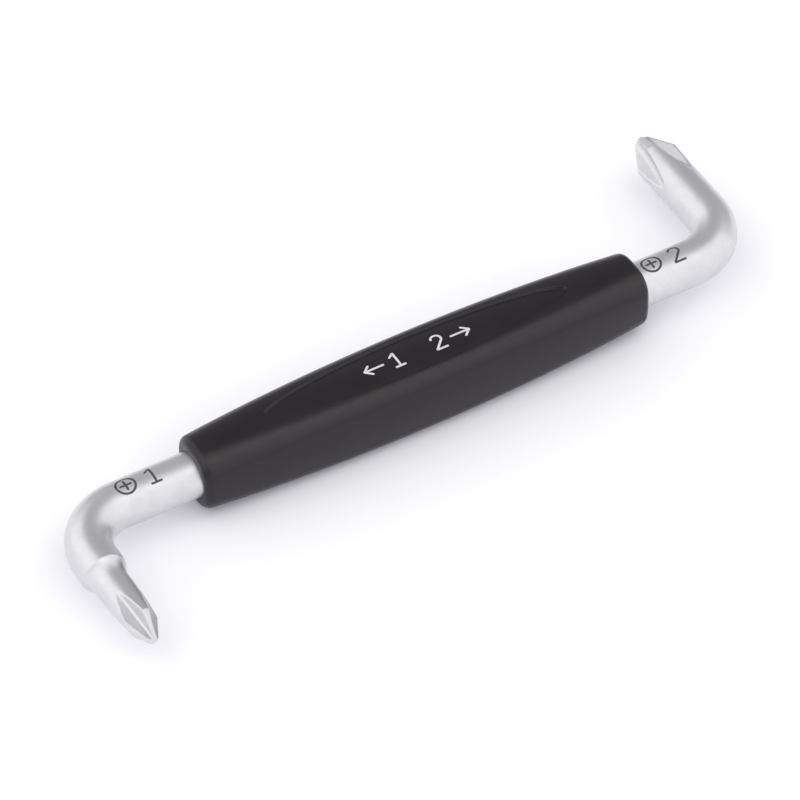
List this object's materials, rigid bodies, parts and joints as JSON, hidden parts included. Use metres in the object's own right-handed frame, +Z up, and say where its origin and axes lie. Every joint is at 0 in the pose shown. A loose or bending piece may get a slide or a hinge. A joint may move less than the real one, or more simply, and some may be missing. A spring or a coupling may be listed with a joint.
{
  "type": "offset screwdriver",
  "caption": "Z-shaped offset screwdriver: a round steel bar bent square at both ends, with a small and a large cross tip and a slim crowned grip moulded round its middle.",
  "frame": {"origin": "on the surface that the tool lies on, under the centre of its overall box", "axes": "+X along the bar from the small tip's end to the large tip's end, +Y the way the large tip points, +Z up"},
  "size_m": [0.102, 0.044, 0.0103],
  "materials": {
    "steel": "matt chrome plated",
    "grip": "fine satin texture"
  },
  "bodies": {
    "root": {"bent_bar": "steel", "grip": "grip"}
  },
  "joints": []
}
